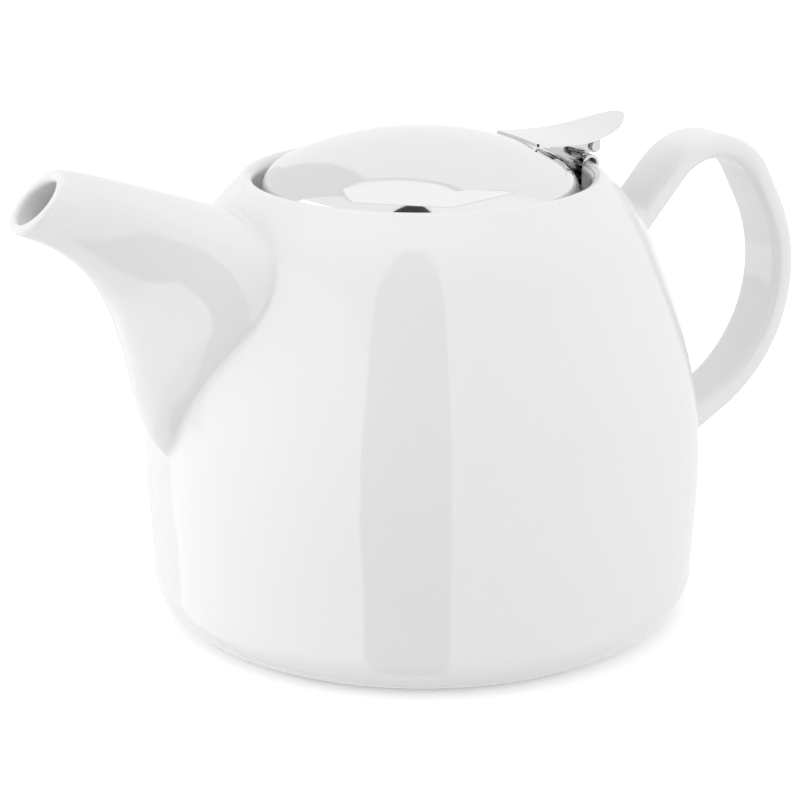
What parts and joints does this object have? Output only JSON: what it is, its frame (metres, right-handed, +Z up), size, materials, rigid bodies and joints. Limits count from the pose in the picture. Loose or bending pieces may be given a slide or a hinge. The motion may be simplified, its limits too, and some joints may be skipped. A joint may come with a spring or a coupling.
{
  "type": "teapot",
  "caption": "Round white porcelain teapot with a side spout, strap handle, lift-out infuser and a domed steel lid that a thumb lever tips open on a rim hinge.",
  "frame": {"origin": "centre of the foot ring on the table, on the body's axis of revolution", "axes": "+Z up, +X from the body's axis to the handle, spout to -X, XZ the plane of symmetry"},
  "size_m": [0.2141, 0.1402, 0.1213],
  "materials": {
    "porcelain": "white clear glaze, foot ring left bare",
    "polished_steel": "stainless sheet, mirror polished",
    "hinge_steel": "stainless sheet and wire, tumbled after folding",
    "infuser_steel": "stainless sheet, perforated, satin"
  },
  "bodies": {
    "pot": {"porcelain_pot": "porcelain", "infuser_rim": "infuser_steel", "infuser_wall": "infuser_steel", "infuser_base": "infuser_steel", "rim_clip": "hinge_steel"},
    "lid": {"lid_dome": "polished_steel", "thumb_lever": "polished_steel", "lever_bracket": "hinge_steel", "hinge_pin": "hinge_steel"}
  },
  "joints": [
    {"name": "lid_hinge", "type": "hinge", "parent": "pot", "child": "lid", "pos_m": [0.0466, 0, 0.1137], "axis": [0, 1, 0], "range_deg": [0, 90]}
  ]
}
